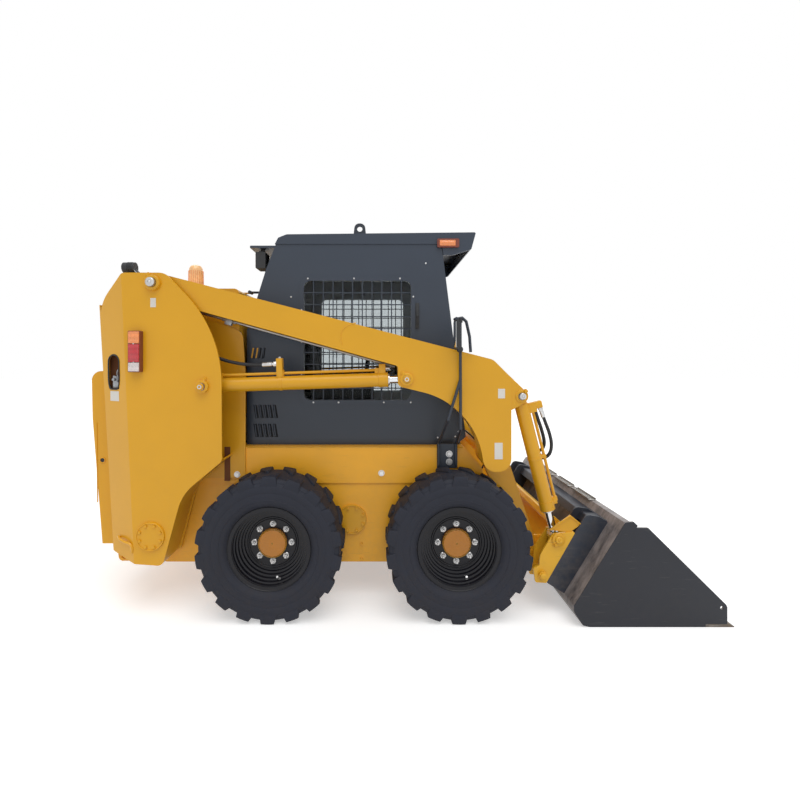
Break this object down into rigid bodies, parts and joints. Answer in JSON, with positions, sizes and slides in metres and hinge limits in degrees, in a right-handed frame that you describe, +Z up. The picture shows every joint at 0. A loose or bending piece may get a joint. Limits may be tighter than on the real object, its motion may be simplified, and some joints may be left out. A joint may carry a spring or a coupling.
{
  "type": "skid steer loader",
  "caption": "Compact skid steer loader with lug tyres, lift arms on rear towers, a black cab and a bucket on a quick coupler.",
  "frame": {"origin": "on the ground under the middle of the machine's box", "axes": "+X forward to the bucket, +Y to the machine's left, +Z up"},
  "size_m": [3.5018, 1.686, 2.208],
  "materials": {
    "yellow_paint": "satin",
    "black_paint": "satin",
    "dark_paint": "matte",
    "tyre": "matte",
    "steel": "bright",
    "chrome": "polished",
    "glass": "clear",
    "seat_fabric": "matte",
    "plastic": "matte",
    "iron": "rough",
    "red_lens": "gloss",
    "amber_lens": "gloss"
  },
  "bodies": {
    "machine": {"axle_housings": "yellow_paint", "cab_back": "black_paint", "cab_floor": "black_paint", "cab_front_frame": "black_paint", "cab_roof": "black_paint", "cab_side_left": "black_paint", "cab_side_right": "black_paint", "control_consoles": "plastic", "engine_block": "iron", "hinges": "steel", "hull": "yellow_paint", "lifting_eyes": "steel", "marker_lamps": "amber_lens", "mirror_heads": "plastic", "mirror_stands": "black_paint", "rear_window": "glass", "seat_back": "seat_fabric", "seat_base": "plastic", "seat_cushion": "seat_fabric", "side_covers": "yellow_paint", "side_windows": "glass", "tail_lamps": "red_lens", "tie_down_loops": "yellow_paint", "tower_left": "yellow_paint", "tower_pins": "chrome", "tower_right": "yellow_paint", "window_guards": "black_paint", "work_lamps": "plastic"},
    "wheel_front_right": {"tyre_front_right": "tyre", "rim_front_right": "black_paint", "hub_front_right": "yellow_paint"},
    "wheel_front_left": {"tyre_front_left": "tyre", "rim_front_left": "black_paint", "hub_front_left": "yellow_paint"},
    "wheel_rear_right": {"tyre_rear_right": "tyre", "rim_rear_right": "black_paint", "hub_rear_right": "yellow_paint"},
    "wheel_rear_left": {"tyre_rear_left": "tyre", "rim_rear_left": "black_paint", "hub_rear_left": "yellow_paint"},
    "boom": {"boom_arm_right": "yellow_paint", "boom_arm_left": "yellow_paint", "boom_cross_tube": "yellow_paint", "boom_pins": "steel", "boom_pipes": "steel"},
    "lift_barrels": {"lift_barrels": "yellow_paint"},
    "lift_rods": {"lift_rods": "chrome"},
    "tilt_barrels": {"tilt_barrels": "yellow_paint"},
    "tilt_rods": {"tilt_rods": "chrome"},
    "bucket": {"coupler": "yellow_paint", "coupler_pins": "steel", "bucket_shell": "black_paint", "cutting_edge": "dark_paint", "bucket_frame": "black_paint"},
    "front_door": {"front_door": "black_paint", "front_door_glass": "glass"},
    "rear_door": {"rear_door": "yellow_paint", "rear_grille": "black_paint"},
    "engine_hood": {"engine_hood": "yellow_paint", "beacon": "amber_lens"}
  },
  "joints": [
    {"name": "wheel_front_right_spin", "type": "hinge", "parent": "machine", "child": "wheel_front_right", "pos_m": [0.333, -0.694, 0.387], "axis": [0, 1, 0], "continuous": true},
    {"name": "wheel_front_left_spin", "type": "hinge", "parent": "machine", "child": "wheel_front_left", "pos_m": [0.333, 0.694, 0.387], "axis": [0, 1, 0], "continuous": true},
    {"name": "wheel_rear_right_spin", "type": "hinge", "parent": "machine", "child": "wheel_rear_right", "pos_m": [-0.669, -0.694, 0.387], "axis": [0, 1, 0], "continuous": true},
    {"name": "wheel_rear_left_spin", "type": "hinge", "parent": "machine", "child": "wheel_rear_left", "pos_m": [-0.669, 0.694, 0.387], "axis": [0, 1, 0], "continuous": true},
    {"name": "boom_lift", "type": "hinge", "parent": "machine", "child": "boom", "pos_m": [-1.307, 0, 1.799], "axis": [0, -1, 0], "range_deg": [0, 60]},
    {"name": "bucket_tilt", "type": "hinge", "parent": "boom", "child": "bucket", "pos_m": [0.8, 0, 0.214], "axis": [0, 1, 0], "range_deg": [-25, 96]},
    {"name": "lift_barrel_swing", "type": "hinge", "parent": "machine", "child": "lift_barrels", "pos_m": [-1.041, 0, 1.24], "axis": [0, -1, 0], "range_deg": [0, 57.7]},
    {"name": "lift_rod_slide", "type": "slide", "parent": "lift_barrels", "child": "lift_rods", "axis": [0.9994, 0, 0.0345], "range_m": [0, 0.617]},
    {"name": "tilt_barrel_swing", "type": "hinge", "parent": "boom", "child": "tilt_barrels", "pos_m": [0.69, 0, 1.185], "axis": [0, 1, 0], "range_deg": [-0.25, 0.9]},
    {"name": "tilt_rod_slide", "type": "slide", "parent": "tilt_barrels", "child": "tilt_rods", "axis": [0.246, 0, -0.9693], "range_m": [-0.082, 0.3125]},
    {"name": "front_door_swing", "type": "hinge", "parent": "machine", "child": "front_door", "pos_m": [0.37193, 0.426, 1.46], "axis": [-0.1253, 0, 0.9921], "range_deg": [0, 95]},
    {"name": "rear_door_swing", "type": "hinge", "parent": "machine", "child": "rear_door", "pos_m": [-1.61128, 0.56, 0.825], "axis": [0.0621, 0, -0.9981], "range_deg": [0, 100]},
    {"name": "engine_hood_lift", "type": "hinge", "parent": "machine", "child": "engine_hood", "pos_m": [-0.897, 0, 1.808], "axis": [0, 1, 0], "range_deg": [0, 45]}
  ],
  "couplings": [
    {"joint": "lift_barrel_swing", "follows": "boom_lift", "ratio": 0.96083},
    {"joint": "lift_rod_slide", "follows": "boom_lift", "m_per_rad": 0.5887},
    {"joint": "tilt_barrel_swing", "follows": "bucket_tilt", "ratio": 0.00875},
    {"joint": "tilt_rod_slide", "follows": "bucket_tilt", "m_per_rad": 0.1863}
  ]
}
